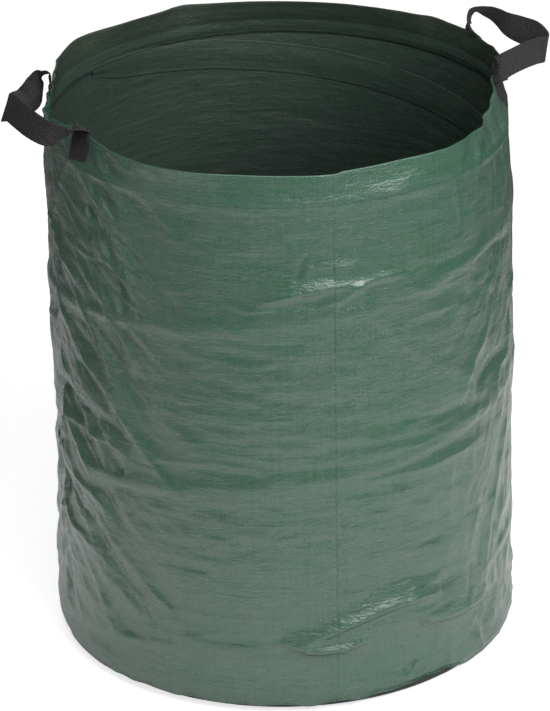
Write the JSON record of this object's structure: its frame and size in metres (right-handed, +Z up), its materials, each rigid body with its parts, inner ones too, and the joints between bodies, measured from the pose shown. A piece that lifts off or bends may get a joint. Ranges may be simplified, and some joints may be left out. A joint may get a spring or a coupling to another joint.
{
  "type": "pop-up leaf bag",
  "caption": "Round green leaf bag of woven plastic sheet, held open by a sprung wire coil, with two black webbing handles.",
  "frame": {"origin": "on the floor at the middle of the round bottom, on the bag's axis", "axes": "+Z up along the bag's axis, +X towards the right handle, the lapped side seam towards -Y"},
  "size_m": [0.8183, 0.6725, 0.9057],
  "materials": {
    "woven_green": "glossy woven polyethylene sheet",
    "webbing_black": "matte ribbed webbing",
    "thread_green": "matte sewing thread",
    "thread_black": "matte sewing thread",
    "spring_steel": "satin",
    "zinc_steel": "satin"
  },
  "bodies": {
    "base": {"bottom_panel": "woven_green", "wall_panel": "woven_green", "base_hoop": "spring_steel", "base_hoop_sleeve": "woven_green", "base_hoop_ferrule": "zinc_steel", "coil_spring": "spring_steel", "coil_sleeve": "woven_green", "coil_lower_crimp": "zinc_steel", "side_seam_thread_left": "thread_green", "side_seam_thread_right": "thread_green", "bottom_seam_thread": "thread_green"},
    "rim": {"rim_hem": "woven_green", "rim_hoop": "spring_steel", "rim_hoop_sleeve": "woven_green", "rim_hoop_ferrule": "zinc_steel", "coil_upper_crimp": "zinc_steel", "hem_seam_thread": "thread_green", "left_handle_back_end": "webbing_black", "left_handle_back_stitching": "thread_black", "left_handle_front_end": "webbing_black", "left_handle_front_stitching": "thread_black", "right_handle_back_end": "webbing_black", "right_handle_back_stitching": "thread_black", "right_handle_front_end": "webbing_black", "right_handle_front_stitching": "thread_black"},
    "left_handle_body": {"left_handle": "webbing_black"},
    "right_handle_body": {"right_handle": "webbing_black"}
  },
  "joints": [
    {"name": "collapse", "type": "slide", "parent": "base", "child": "rim", "axis": [0, 0, 1], "range_m": [-0.745, 0], "stiffness_N_per_m": 60, "springref_m": 0.15, "deforming": ["wall_panel", "coil_spring", "coil_sleeve", "side_seam_thread_left", "side_seam_thread_right"]},
    {"name": "right_handle_swing", "type": "hinge", "parent": "rim", "child": "right_handle_body", "pos_m": [0.32327, 0, 0.8563], "axis": [0, -1, 0], "range_deg": [-60, 90]},
    {"name": "left_handle_swing", "type": "hinge", "parent": "rim", "child": "left_handle_body", "pos_m": [-0.32327, 0, 0.8563], "axis": [0, 1, 0], "range_deg": [-50, 90]}
  ]
}
